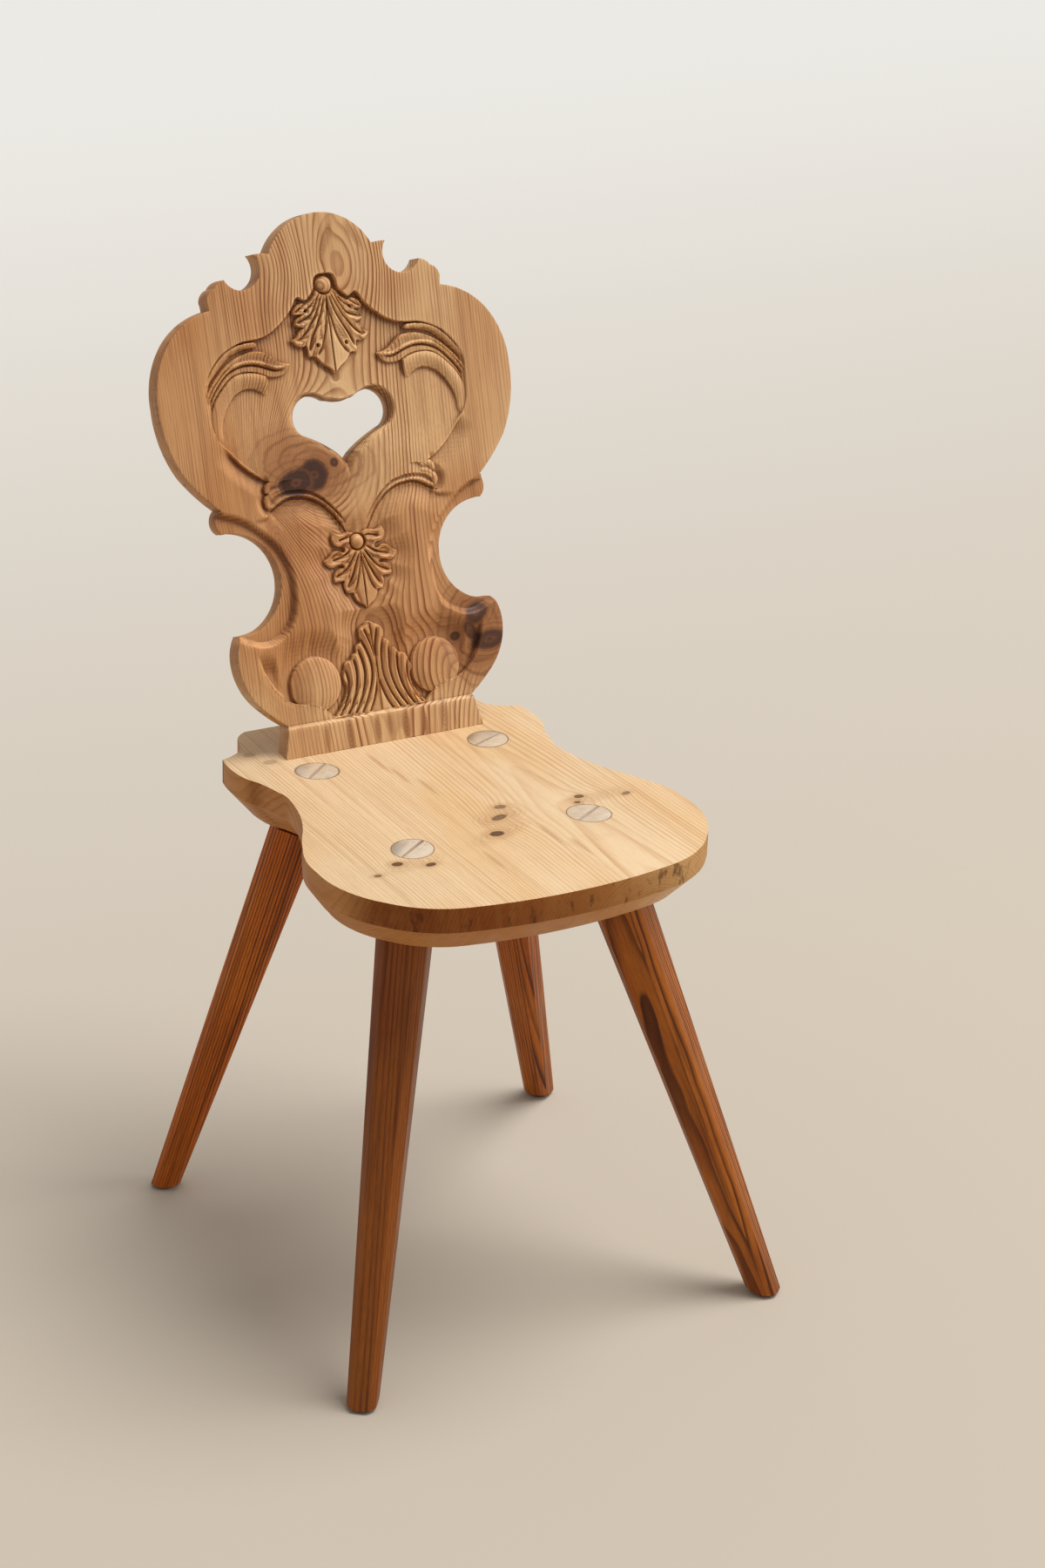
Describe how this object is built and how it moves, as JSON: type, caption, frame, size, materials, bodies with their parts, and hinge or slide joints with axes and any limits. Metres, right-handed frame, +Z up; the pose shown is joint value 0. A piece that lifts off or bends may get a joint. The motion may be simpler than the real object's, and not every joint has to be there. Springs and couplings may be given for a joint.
{
  "type": "carved wooden chair",
  "caption": "Farmhouse board chair in solid pine: a waisted seat plank on splayed legs, with a leaning carved back that has a heart-shaped hand hole.",
  "frame": {"origin": "on the floor, under the middle of the chair's overall width and depth", "axes": "+Z up; the chair faces -Y, so a sitter looks along -Y; +X is at the left-hand side of the sitter and at the right of someone who faces the chair"},
  "size_m": [0.449, 0.5704, 0.9191],
  "materials": {
    "seat_pine": "pale scrubbed pine with brown growth lines and knots, waxed, satin",
    "back_pine": "honey-brown stained pine, hand carved, waxed, satin",
    "leg_wood": "red-brown stained wood with straight grain, waxed, satin",
    "wedge_wood": "greyish end grain, waxed"
  },
  "bodies": {
    "root": {"seat": "seat_pine", "back_board": "back_pine", "leg_front_left": "leg_wood", "leg_front_right": "leg_wood", "leg_rear_left": "leg_wood", "leg_rear_right": "leg_wood", "wedge_front_left": "wedge_wood", "wedge_front_right": "wedge_wood", "wedge_rear_left": "wedge_wood", "wedge_rear_right": "wedge_wood", "key_left": "back_pine", "key_right": "back_pine"}
  },
  "joints": []
}
